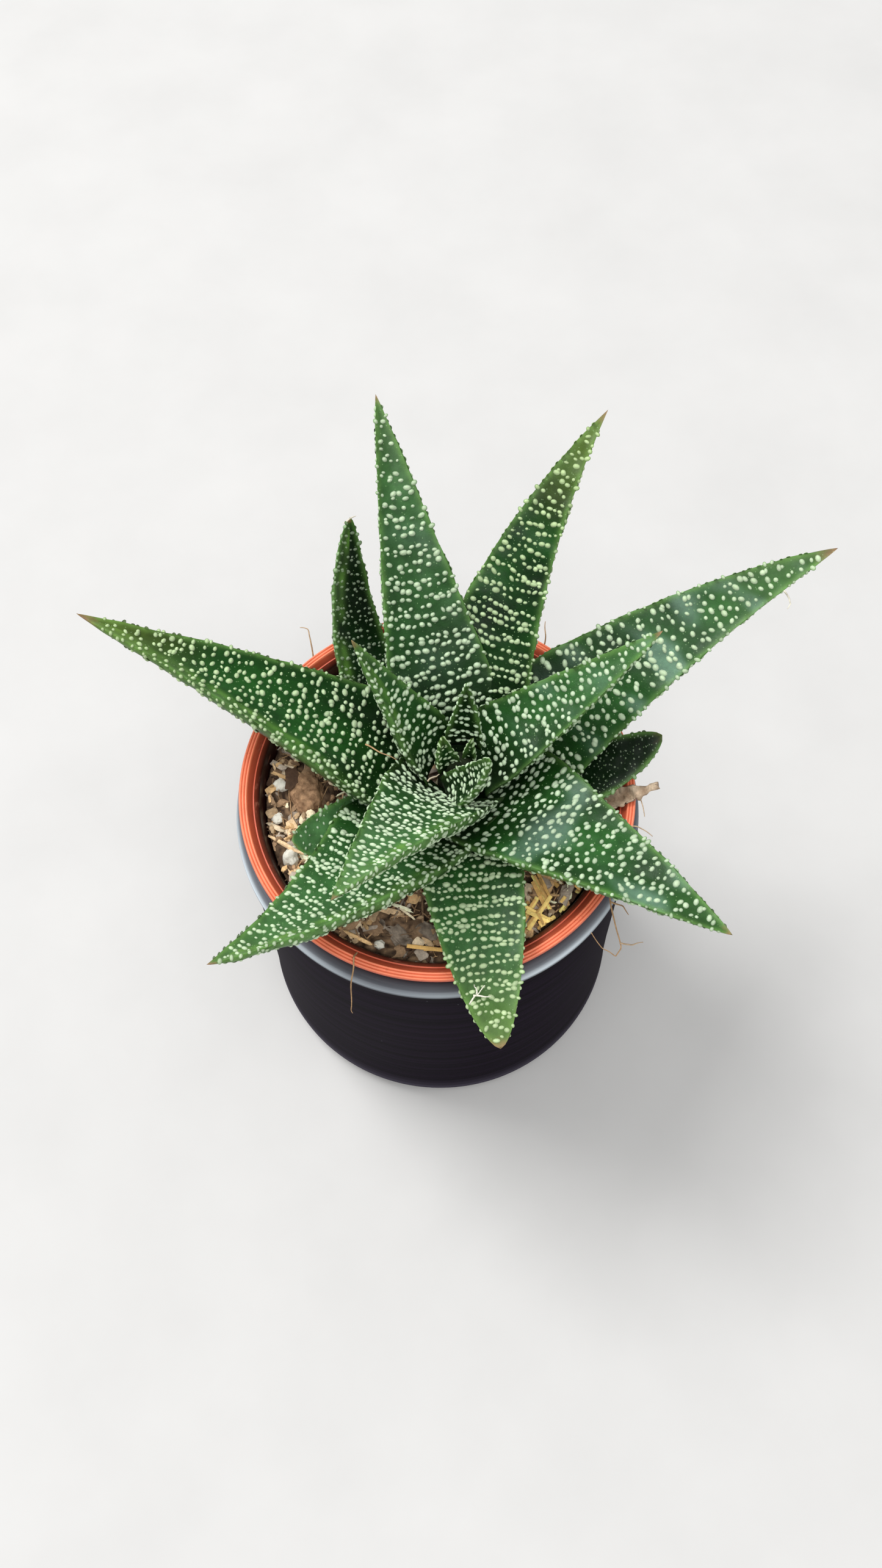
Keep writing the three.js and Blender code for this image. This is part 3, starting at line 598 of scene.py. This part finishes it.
def skin_shape(leaf):
    """Points, faces and tints of the smooth leaf, closed at the foot by a flat seam."""
    rows, columns = max(24, int(leaf.length / SKIN_PITCH)), SKIN_COLUMNS
    t, phase = skin_grid(np.linspace(0, 1, rows + 1)[:-1], columns)
    place = leaf.surface(t, phase)
    tints = leaf.colour(t, phase, place)
    mirror = (columns - np.arange(columns)) % columns
    seam = (place[0] + place[0][mirror]) / 2
    tip = leaf.at[-1][None]
    points = np.vstack([seam, place.reshape(-1, 3), tip])
    tints = np.vstack([tints[0], tints.reshape(-1, 3), tints[-1, :1]])
    last = rows * columns
    around = np.arange(columns)
    fan = np.stack([last + around, last + (around + 1) % columns,
                    np.full(columns, last + columns)], axis=-1)
    return points, [grid_faces(rows + 1, columns), fan], tints


WART_SEED = 100
ROW_SAMPLES = 41  # points that measure a row across one face
TOOTH_PITCH, TOOTH_WIDTH = 1.15, 0.62
RING_REACH = np.array([0.45, 0.8, 1.12])  # rings of a wart, from its crown to its skirt
RING_RISE = np.array([0.86, 0.42, -0.12])
RING_CHALK = np.array([1.0, 0.85, 0.0])
WART_SIDES = 9
SKYWARD = Vector((0.013, 0.021, 1)).normalized()  # aslant, so that it seldom meets an edge


def wart_rows(leaf, rng):
    """t, phase and width of each wart: broken rows across both faces, then the margins."""
    looks = leaf.looks
    spots = []
    rows = int(leaf.length / looks["pitch"])
    loose = 0.34 - 0.28 * looks["run"]
    for under in (0, 1):
        phases = under + np.linspace(0, 1, ROW_SAMPLES)
        for row in range(rows):
            t = (row + 0.5 + rng.uniform(-0.25, 0.25)) / rows
            if t < 0.03 or (1 - t) * leaf.length < looks["sear"] * 0.8:
                continue
            line = leaf.skin(np.full(ROW_SAMPLES, t), phases)
            strides = np.linalg.norm(np.diff(line, axis=0), axis=1)
            reach = np.concatenate([[0], np.cumsum(strides)])
            tilt = rng.uniform(-0.9, 0.9)
            bow = rng.uniform(0.2, 1.1)
            along = 0.8 * looks["size"] + rng.uniform(0, looks["gap"])
            while along < reach[-1] - 0.7 * looks["size"]:
                across = 2 * along / reach[-1] - 1
                drift = tilt * across + bow * across ** 2 + rng.normal(0, loose)
                width = looks["size"] * rng.uniform(0.62, 1.2) * (1 - 0.2 * t)
                spots.append((t + drift / leaf.length, np.interp(along, reach, phases), width))
                touches = rng.random() < looks["run"]
                along += looks["step"] * rng.uniform(0.85, 1.1)
                along += 0 if touches else looks["gap"] * rng.uniform(0.3, 1.3)
    for margin in (0.0, 1.0):
        teeth = int(leaf.length / TOOTH_PITCH)
        for tooth in range(teeth):
            t = (tooth + 0.5 + rng.uniform(-0.3, 0.3)) / teeth
            if t > 0.06 and (1 - t) * leaf.length > looks["sear"] * 0.8:
                side = margin + rng.uniform(-0.035, 0.05) * (1 if margin == 0 else -1)
                spots.append((t, side % 2, TOOTH_WIDTH * rng.uniform(0.8, 1.25)))
    spots = np.array(spots)
    return spots[(spots[:, 0] > 0.02) & ((1 - spots[:, 0]) * leaf.length > 0.5 * looks["sear"])]


def wart_shape(leaf, spots, rng):
    """Points, faces and tints of all of a leaf's warts, as low domes on its skin."""
    t, phase, width = spots.T
    place = leaf.surface(t, phase)
    out = leaf.normals(t, phase)
    ahead = unit(leaf.skin(np.minimum(t + 0.02, 1), phase) - leaf.skin(t - 0.02, phase))
    skew = rng.normal(0, 0.35, (len(t), 1))
    ahead = ahead * np.cos(skew) + np.cross(out, ahead) * np.sin(skew)
    aside = np.cross(out, ahead)
    angle = circle(WART_SIDES)
    long, wide = rng.uniform([[0.38], [0.48]], [[0.5], [0.72]], (2, len(t))) * width
    rise = rng.uniform(0.24, 0.34, len(t)) * width
    crown = place + out * rise[:, None]
    rings = [
        place[:, None]
        + ahead[:, None] * (reach * long[:, None] * np.cos(angle))[..., None]
        + aside[:, None] * (reach * wide[:, None] * np.sin(angle))[..., None]
        + out[:, None] * (height * rise)[:, None, None]
        for reach, height in zip(RING_REACH, RING_RISE)
    ]
    points = np.concatenate([crown[:, None], *rings], axis=1)
    skin = leaf.colour(t, phase, place)
    chalk = mix(CHALK, CHALK_GOLD, np.clip(leaf.looks["gold"] * (0.35 + 0.9 * t), 0, 1) * 0.75)
    chalk = mix(skin, chalk, leaf.looks["chalk"] * rng.uniform(0.8, 1.0, len(t)))
    weights = np.concatenate([[1], np.repeat(RING_CHALK, WART_SIDES)])
    tints = mix(skin[:, None], chalk[:, None], np.broadcast_to(weights, points.shape[:2]))
    around = np.arange(WART_SIDES)
    after = (around + 1) % WART_SIDES
    cap = np.stack([np.zeros(WART_SIDES, int), 1 + around, 1 + after], axis=-1)
    sides = 1 + grid_faces(len(RING_REACH), WART_SIDES)
    first = np.arange(len(t))[:, None, None] * points.shape[1]
    faces = [(cap + first).reshape(-1, 3), (sides[:, ::-1] + first).reshape(-1, 4)]
    return points.reshape(-1, 3), faces, tints.reshape(-1, 3)


def outside(points, shapes):
    """Which points lie outside all of the closed shapes, each given by its tree and its box."""
    keep = np.ones(len(points), bool)
    for tree, low, high in shapes:
        boxed = keep & (points > low).all(axis=1) & (points < high).all(axis=1)
        for i in np.flatnonzero(boxed):
            spot, walls = Vector(points[i]), 0
            while (hit := tree.ray_cast(spot, SKYWARD)[0]) is not None:
                spot = hit + SKYWARD * 1e-4
                walls += 1
            keep[i] = walls % 2 == 0
    return keep


def closed_wall(points, faces):
    """A closed shape as outside takes it: its tree and its box's two corners."""
    polygons = [face for block in faces for face in block.tolist()]
    tree = BVHTree.FromPolygons(points.tolist(), polygons)
    return tree, points.min(axis=0), points.max(axis=0)


def build_leaves():
    """The living leaves, without the warts that another leaf would swallow."""
    finish = leaf_finish()
    leaves = [Leaf(**row) for row in LEAVES]
    skins = [skin_shape(leaf) for leaf in leaves]
    walls = [closed_wall(points, faces) for points, faces, _ in skins]
    for index, (leaf, skin) in enumerate(zip(leaves, skins)):
        rng = np.random.default_rng(WART_SEED + index)
        spots = wart_rows(leaf, rng)
        others = walls[:index] + walls[index + 1:]
        spots = spots[outside(leaf.surface(spots[:, 0], spots[:, 1]), others)]
        pile = Pile()
        pile.add(*skin)
        pile.add(*wart_shape(leaf, spots, rng))
        dress(pile.build(leaf.name + "_skin", finish), "haworthia_flesh", leaf.name)


# --- pots


def in_pot(points):
    """Stands points that are given about the nursery pot's rim in its tilted place."""
    angle = math.radians(NURSERY_POT["askew"])
    cosine, sine = math.cos(angle), math.sin(angle)
    x, y, z = np.asarray(points, float).T
    height = y * sine + z * cosine + NURSERY_POT["rim_height"]
    return np.stack([x, y * cosine - z * sine, height], axis=-1)


def shape_in_pot(shape):
    """The same for a shape's points and faces."""
    points, faces = shape
    return in_pot(points), faces


GLAZE_BLACK = srgb(19, 11, 24)
BASE_HIGHLIGHT = srgb(66, 62, 74)
LIP_GREY = srgb(76, 78, 84)
LIP_HIGHLIGHT = srgb(200, 210, 216)  # a painted highlight: a pale streak along the lip, brightest towards two sides
HIGHLIGHT_SIDES = np.array([[-0.9, -0.44], [0.6, -0.8]])


def build_outer_pot():
    """The glazed pot, its lip pale grey: partly worn glaze and partly painted highlight."""
    pot = OUTER_POT
    lip_round, rim_top, bore = pot["lip_round"], pot["rim_top"], pot["bore"]
    foot, foot_round = pot["foot_radius"], pot["foot_round"]
    profile = [
        (0, 0),
        (foot - foot_round - 6, 0),
        *arc(foot - foot_round, foot_round, foot_round, -90, 0, 10),
        *[(foot - 0.1 * (z - foot_round) ** 0.67, z) for z in (5.5, 7, 9, 11, 14)],
        (pot["wall_radius"] + 0.3, 22),
        (pot["wall_radius"], 44),
        (pot["wall_radius"], rim_top - 3.2 * lip_round),
        (pot["lip_radius"] - 0.55, rim_top - 2.4 * lip_round),
        *arc(pot["lip_radius"] - lip_round, rim_top - lip_round, lip_round, -40, 180, 14),
        (bore, rim_top - 2 * lip_round),
        (bore - 1, pot["floor"] + 3),
        (bore - 4, pot["floor"]),
        (0, pot["floor"]),
    ]
    points, faces = turned(profile)
    # The lip's pale grey is partly worn glaze and partly a painted highlight.
    worn_and_lit = smooth_step(-2.4 * lip_round, -0.6 * lip_round, points[:, 2] - rim_top)
    worn_and_lit *= smooth_step(bore, bore + lip_round, np.hypot(points[:, 0], points[:, 1]))
    tints = mix(GLAZE_BLACK, LIP_GREY, worn_and_lit)
    # Painted highlight: a soft grey band round the pot's foot.
    tints = mix(tints, BASE_HIGHLIGHT, 0.8 * bell(points[:, 2] - 3.5, 2.5))
    # Painted highlight: a pale streak along the lip's outer top, brightest towards the front-left
    # and front-right.
    highlight_side = (np.clip(unit(points[:, :2]) @ HIGHLIGHT_SIDES.T, 0, 1) ** 6).max(axis=1)
    band = bell(points[:, 2] - rim_top + 0.9, 0.5) * worn_and_lit
    tints = mix(tints, LIP_HIGHLIGHT, band * (0.25 + 0.55 * highlight_side))
    stand_in("outer_pot", "black_glaze", "outer_pot_glazed", points, faces, tints,
             glaze_finish(), 50)


RIM_RED = srgb(244, 132, 94)
GROOVE_SHADE_RED = srgb(184, 70, 44)
INSIDE_SHADE_RED = srgb(40, 8, 4)


def build_nursery_pot():
    """The moulded pot, with grooves round its rim, and painted shade in the grooves and down its
    inside.
    """
    pot = NURSERY_POT
    rim, width, band, wall = pot["rim_radius"], pot["rim_width"], pot["band_depth"], pot["wall"]
    shoulder, foot, height = pot["shoulder_radius"], pot["foot_radius"], pot["height"]
    ridge_span = np.linspace(0.1, 1.02, 25) * (width - 0.15)
    ridges = [(rim - s, 0.15 * abs(math.sin(math.pi * 3 * s / width)) - 0.15) for s in ridge_span]
    profile = [
        (0, -height),
        (foot, -height),
        (shoulder, -band - 1),
        (shoulder, -band),
        (rim - 0.1, -band),
        (rim, -band + 0.15),
        (rim, -0.3),
        *ridges,
        (rim - width, -0.4),
        (shoulder - wall + 0.1, -band - 0.5),
        (shoulder - wall, -band - wall),
        (foot - wall, wall - height),
        (0, wall - height),
    ]
    points, faces = turned(profile)
    outer_wall = np.interp(points[:, 2], (-height, -band - 1), (foot, shoulder))
    inside = np.hypot(points[:, 0], points[:, 1]) < outer_wall - wall / 2
    # Painted shade: darker red in the rim's grooves and down the rim's outer face.
    tints = mix(RIM_RED, GROOVE_SHADE_RED, smooth_step(0.05, 0.15, -points[:, 2]) * 0.8)
    # Painted shade: dark red down the inside, just below the rim.
    tints = mix(tints, INSIDE_SHADE_RED, smooth_step(0.2, 0.7, -points[:, 2]) * inside)
    stand_in("nursery_pot", "orange_plastic", "nursery_pot_moulded", in_pot(points), faces,
             tints, plastic_finish(), 60)


# --- soil and what lies on it

EARTH = [srgb(76, 56, 42), srgb(146, 118, 90), srgb(204, 174, 136), srgb(240, 218, 184),
         srgb(172, 158, 142), srgb(216, 178, 128)]
STRAW_GOLD = srgb(232, 186, 112)
ROOT_TAN = srgb(196, 158, 116)
ROOT_WHITE = srgb(228, 226, 208)
PERLITE_WHITE = srgb(226, 222, 208)
PEAT_TAN, PEAT_BROWN = srgb(188, 150, 114), srgb(112, 82, 58)
BARK_GREY, BARK_BROWN = srgb(158, 144, 128), srgb(84, 72, 60)
WITHERED_TAN, WITHERED_BROWN = srgb(206, 184, 158), srgb(140, 114, 90)
STEM_SHADE_GREEN = srgb(28, 38, 16)


def bore_radius(height):
    """Inner radius of the nursery pot at a height below its rim."""
    pot = NURSERY_POT
    depth = pot["height"] - pot["band_depth"] - 2 * pot["wall"]
    share = (-height - pot["band_depth"] - pot["wall"]) / depth
    taper = pot["foot_radius"] - pot["shoulder_radius"]
    return pot["shoulder_radius"] + taper * share - pot["wall"]


def soil_top(x, y):
    """Height of the soil below the rim: a low mound round the stem, with soft lumps."""
    from_stem = np.hypot(x - STEM["x"], y - STEM["y"])
    mound = SOIL["mound"] * bell(from_stem, SOIL["mound_spread"])
    lumps = np.sin(0.9 * x + 0.4 * y) * np.cos(0.7 * y - 0.5 * x) + 0.6 * np.sin(1.7 * x - 1.3 * y)
    return mound - SOIL["below_rim"] + SOIL["lump"] * lumps


def build_soil():
    """The peat bed that fills the nursery pot."""
    edge = bore_radius(-SOIL["below_rim"]) - SOIL["clear_of_wall"]
    bottom = NURSERY_POT["wall"] + 0.3 - NURSERY_POT["height"]
    rings = [(0, bottom), (bore_radius(bottom) - 0.5, bottom), (edge, -SOIL["below_rim"] - 1.2)]
    rings += [(edge * share, 0) for share in np.linspace(1, 0, 110)]
    points, faces = turned(rings, 240)
    top = points[:, 2] > -0.5
    x, y, _ = points[top].T
    flat = np.stack([x, y, 0 * x], axis=-1)
    relief = 0.22 * ripple(flat, 3, 21) + 0.16 * ripple(flat, 1.4, 22)
    relief += 0.1 * ripple(flat, 0.7, 23, 11)
    points[top, 2] = soil_top(x, y) + relief
    # The bed's darkest mottle, half the darkest earth, is painted shade in the gaps between the
    # crumbs; the rest is the peat's own mottle.
    tints = mottled(EARTH[0] * 0.5, EARTH[1], points, 1.2, 24, waves=11)
    stand_in("soil", "potting_soil", "soil_bed", in_pot(points), faces, tints,
             rough_finish("peat_soil", 0.35, 0.15))


def scattered(rng, count, reach):
    """Even random places on the soil, within a distance of the pot's middle."""
    radius = reach * np.sqrt(rng.random(count))
    angle = rng.uniform(0, math.tau, count)
    return np.stack([radius * np.cos(angle), radius * np.sin(angle)], axis=-1)


def open_soil(x, y):
    """Whether a place is clear of the perlite, the peat lump and the bark chips."""
    taken = [*PERLITE, PEAT_LUMP, *((at, np.array(size) / 2.4) for at, size, _ in BARK_CHIPS)]
    return all(math.dist((x, y), at) > max(size[:2]) for at, size in taken)


def turned_flat(points, heading):
    """Points turned about Z, the heading in radians."""
    cosine, sine = math.cos(heading), math.sin(heading)
    return points @ np.array([[cosine, sine, 0], [-sine, cosine, 0], [0, 0, 1]])


# Loose crumbs, flakes of bark and splinters: the chance of each kind, its squareness, and its
# least and most half sizes.
GRIT_CHANCES = (0.6, 0.2, 0.2)
GRIT_KINDS = [(1, (0.3, 0.22, 0.18), (1.0, 0.6, 0.45)),
              (0.5, (0.8, 0.5, 0.14), (1.9, 1.1, 0.3)),
              (0.6, (1.5, 0.15, 0.1), (3.4, 0.4, 0.22))]
CRUMBS, FIBRES = 2600, 520  # before those over larger grit are left out
SOIL_REACH = 26.4  # crumbs are drawn in to about this far from the pot's middle


def build_crumbs():
    """Loose crumbs, flakes of bark and splinters that cover the soil."""
    rng = np.random.default_rng(7)
    ball, faces = rounded_stone(2)
    pile = Pile()
    for x, y in scattered(rng, CRUMBS, 25.8):
        form, least, most = GRIT_KINDS[rng.choice(3, p=GRIT_CHANCES)]
        if not open_soil(x, y):
            continue
        shape = np.sign(ball) * np.abs(ball) ** form * rng.uniform(least, most)
        shape *= 1 + 0.22 * ripple(ball, 1.1, int(rng.integers(1e6)), 4)[:, None]
        lean = turn_matrix(rng) * 0.25 + np.eye(3)
        shape = turned_flat(shape @ lean.T, rng.uniform(0, math.pi))
        reach = np.hypot(*(shape[:, :2] + [x, y]).T).max()
        shape[:, :2] += np.array([x, y]) * min(1, 1 - (reach - SOIL_REACH) / SOIL_REACH)
        shape[:, 2] += soil_top(x, y) + rng.uniform(-0.1, 0.8)
        tint = EARTH[rng.integers(len(EARTH))] * rng.uniform(0.7, 1.5)
        pile.add(in_pot(shape), faces, tint)
    dress(pile.build("soil_crumbs", rough_finish("bark_crumb", 0.3, 0.08), 50), "potting_soil")


def build_fibres():
    """Fine peat fibres and dead roots that curl over the soil."""
    rng = np.random.default_rng(8)
    pile = Pile()
    for x, y in scattered(rng, FIBRES, 24.8):
        if not open_soil(x, y):
            continue
        length = rng.uniform(2, 8)
        heading = rng.uniform(0, math.tau) + np.cumsum(rng.normal(0, 0.22, 12))
        steps = np.stack([np.cos(heading), np.sin(heading)], axis=-1) * length / 12
        flat = np.array([x, y]) + np.cumsum(steps, axis=0)
        flat *= np.minimum(1, 25.4 / np.linalg.norm(flat, axis=1))[:, None]
        lift = 0.35 + 0.35 * np.sin(np.linspace(0, math.pi, 12)) * rng.random()
        path = np.column_stack([flat, soil_top(flat[:, 0], flat[:, 1]) + lift])
        tint = mix(ROOT_TAN, EARTH[1], rng.random()) * rng.uniform(0.7, 1.15)
        pile.add(*shape_in_pot(tube(path, rng.uniform(0.05, 0.15), 4)), tint)
    dress(pile.build("soil_fibres", rough_finish("fibre", 0.2, 0.02)), "potting_soil")


def build_root_hairs():
    """Dead root hairs over the rims and on the leaves, thinning to their ends."""
    rng = np.random.default_rng(11)
    pile = Pile()
    for bleached, knots in ROOT_HAIRS:
        knots = np.array(knots, float)
        share = np.linspace(0, len(knots) - 1, 8 * len(knots))
        places = np.arange(len(knots))
        path = np.stack([np.interp(share, places, axis) for axis in knots.T], axis=-1)
        path[1:-1] = (path[:-2] + path[1:-1] + path[2:]) / 3
        path += 0.08 * np.sin(share[:, None] * rng.uniform(2, 5, 3) + rng.uniform(0, 6, 3))
        tint = mix(ROOT_TAN * 0.75, ROOT_WHITE, bleached)
        pile.add(*tube(path, np.linspace(0.15, 0.06, len(path)), 5), tint)
    dress(pile.build("root_hairs", rough_finish("root_hair", 0.2, 0.02)), "straw")


def build_grit():
    """Perlite, the peat lump and bark chips, where their solids lie."""
    ball, faces = rounded_stone(4)
    white = rough_finish("perlite_grain", 0.35, 0.12, 0.9, 1.08)
    for i, ((x, y), size) in enumerate(PERLITE, start=1):
        knobs = 1 + 0.13 * ripple(ball, 1.2, 30 + i) + 0.05 * ripple(ball, 0.4, 40 + i)
        points = ball * knobs[:, None] * size + [x, y, soil_top(x, y) + size[2] / 6]
        stand_in(f"perlite_{i}", "perlite", f"perlite_grain_{i}", in_pot(points), faces,
                 PERLITE_WHITE, white)
    (x, y), size = PEAT_LUMP
    knobs = 1 + 0.1 * ripple(ball, 1.0, 51) + 0.07 * ripple(ball, 0.35, 52, 11)
    points = ball * knobs[:, None] * size + [x, y, soil_top(x, y) + size[2] / 6]
    tints = mottled(PEAT_TAN, PEAT_BROWN, points, 0.8, 53)
    stand_in("peat_lump_5", "bark", "peat_clod", in_pot(points), faces, tints,
             rough_finish("peat_clod", 0.25, 0.12))
    bark = rough_finish("bark_chip", 0.4, 0.12, 0.7, 1.25, (1, 1, 3))
    for i, ((x, y), size, heading) in enumerate(BARK_CHIPS, start=6):
        slab = np.sign(ball) * np.abs(ball) ** 0.55 * np.array(size) / 2
        slab *= 1 + 0.08 * ripple(ball, 0.9, 60 + i)[:, None]
        points = turned_flat(slab, math.radians(heading)) + [x, y, soil_top(x, y) + size[2] / 6]
        tints = mottled(BARK_GREY, BARK_BROWN, slab, 1.0, 70 + i)
        stand_in(f"bark_chip_{i}", "bark", f"bark_flake_{i}", in_pot(points), faces, tints, bark)


def build_straws():
    """The two stiff straws, and the bundle of split ones that they lie among."""
    rng = np.random.default_rng(10)
    finish = rough_finish("dry_straw", 0.3, 0.05, 0.85, 1.2)
    pile = Pile()
    for (x, y), length, heading in STRAWS:
        angle = math.radians(heading)
        reach = np.linspace(-0.5, 0.5, 14)[:, None] * length
        centre = np.array([x, y, soil_top(x, y) + STRAW["lift"]])
        path = centre + reach * [math.cos(angle), math.sin(angle), 0]
        path[:, 2] += 0.12 * np.sin(np.linspace(0, 9, 14))
        pile.add(*shape_in_pot(tube(path, STRAW["radius"] * 0.8, 8)), STRAW_GOLD)
    for start, end, spread, strands in STRAW_BUNDLES:
        for _ in range(strands):
            ends = np.array([start, end]) + rng.normal(0, spread / 1.6, 2)
            ends += rng.normal(0, 0.3, (2, 2))
            first, last = rng.uniform([-0.12, 0.6], [0.3, 1.12])
            flat = ends[0] + np.linspace(first, last, 8)[:, None] * (ends[1] - ends[0])
            flat *= np.minimum(1, 26 / np.linalg.norm(flat, axis=1))[:, None]
            lift = rng.uniform(0.8, 2.0) + np.linspace(-0.5, 0.5, 8) * rng.normal(0, 0.5)
            path = np.column_stack([flat, soil_top(*flat.mean(axis=0)) + lift])
            points, faces = tube(path, rng.uniform(0.15, 0.36), 6)
            middle = np.repeat(path[:, 2], 6)
            points[:, 2] = middle + 0.4 * (points[:, 2] - middle)
            pile.add(in_pot(points), faces, STRAW_GOLD * rng.uniform(0.5, 1.8))
    dress(pile.build("straw_bundle", finish, 40), "straw", "straw_9", "straw_10")


def build_dry_leaf():
    """The withered leaf: a crumpled, papery version of a living one."""
    leaf = Leaf(**DRY_LEAF)
    rows, columns = 90, 48
    t, phase = skin_grid(np.linspace(0, 0.999, rows), columns)
    place = leaf.skin(t, phase)
    crumple = 0.35 * ripple(place, 3.5, 81) + 0.15 * ripple(place, 1.2, 82)
    place += leaf.normals(t, phase) * crumple[..., None]
    tints = mottled(WITHERED_TAN, WITHERED_BROWN, place, 2.2, 83, middle=0.45)
    faces = [grid_faces(rows, columns), [list(range(columns))[::-1]],
             [list(range((rows - 1) * columns, rows * columns))]]
    stand_in("leaf_dry", "dry_leaf", "withered_leaf", place, faces, tints.reshape(-1, 3),
             rough_finish("withered_leaf", 0.3, 0.1))


def build_stem():
    """The short scarred stem, hidden in the rosette."""
    heights = np.linspace(STEM["foot"], STEM["top"] - 3, 60)
    radii = STEM["radius"] - 0.1 + 0.1 * np.sin(heights * 2.4)
    profile = [(0, STEM["foot"]), *zip(radii, heights),
               (STEM["radius"] * 0.5, STEM["top"]), (0, STEM["top"])]
    points, faces = turned(profile, 48)
    # The stem's near-black green is painted shade, darker than its own colour, for the deep heart
    # of the rosette.
    stand_in("stem", "haworthia_flesh", "scarred_stem", points + [STEM["x"], STEM["y"], 0],
             faces, STEM_SHADE_GREEN, rough_finish("stem_skin", 0.5, 0.1))


# --- studio and camera

IMAGE_HEIGHT = 2569
FOCAL_PIXELS = 2100
SENSOR = 36  # along the image's longer side
CAMERA_AT = (0.62, -84.134, 237.801)
CAMERA_PITCH = 64  # degrees below the level
CAMERA_ROLL = -1.11

# Soft lamps: name, place and width in metres, and power in watts. All face the plant.
LAMPS = [("window", (-1.1, 0.8, 1.9), 1.1, 46), ("ceiling", (0.2, -0.8, 2.2), 1.6, 28)]
LAMPS_FACE = Vector((0, 0, 0.06))


def build_studio():
    """A plain pale floor in soft light."""
    bpy.ops.mesh.primitive_plane_add(size=6)
    floor = bpy.context.object
    floor.name = "floor"
    card = Finish("pale_floor", specular=0.2)
    clouds = card.remap(card.noise(30), 0.3, 0.7, 0, 1)
    colour = card.blend(clouds, srgb(196, 195, 193), srgb(201, 200, 198))
    floor.data.materials.append(card.done(colour, card.remap(card.noise(4), 0, 1, 0.6, 0.7)))

    world = bpy.data.worlds.new("soft_room")
    bpy.context.scene.world = world
    world.use_nodes = True
    sky = world.node_tree.nodes["Background"]
    sky.inputs["Color"].default_value = (0.97, 0.98, 1, 1)
    sky.inputs["Strength"].default_value = 0.5

    for name, at, size, power in LAMPS:
        light = bpy.data.lights.new(name, "AREA")
        light.size = size
        light.energy = power
        lamp = bpy.data.objects.new(name, light)
        lamp.location = at
        lamp.rotation_euler = (LAMPS_FACE - Vector(at)).to_track_quat("-Z", "Y").to_euler()
        bpy.context.scene.collection.objects.link(lamp)


def build_camera():
    """A pinhole camera that looks steeply down."""
    camera = bpy.data.cameras.new("camera")
    camera.sensor_width = SENSOR
    camera.lens = SENSOR * FOCAL_PIXELS / IMAGE_HEIGHT
    camera.clip_start = 0.01
    viewer = bpy.data.objects.new("camera", camera)
    viewer.location = Vector(CAMERA_AT) * MM
    viewer.rotation_euler = (math.radians(90 - CAMERA_PITCH), 0, 0)
    viewer.rotation_euler.rotate_axis("Z", math.radians(CAMERA_ROLL))
    bpy.context.scene.collection.objects.link(viewer)
    bpy.context.scene.camera = viewer
    bpy.context.scene.view_settings.view_transform = "Standard"


# --- build

build_camera()
build_studio()
build_leaves()
build_stem()
build_outer_pot()
build_nursery_pot()
build_soil()
build_crumbs()
build_fibres()
build_root_hairs()
build_grit()
build_straws()
build_dry_leaf()
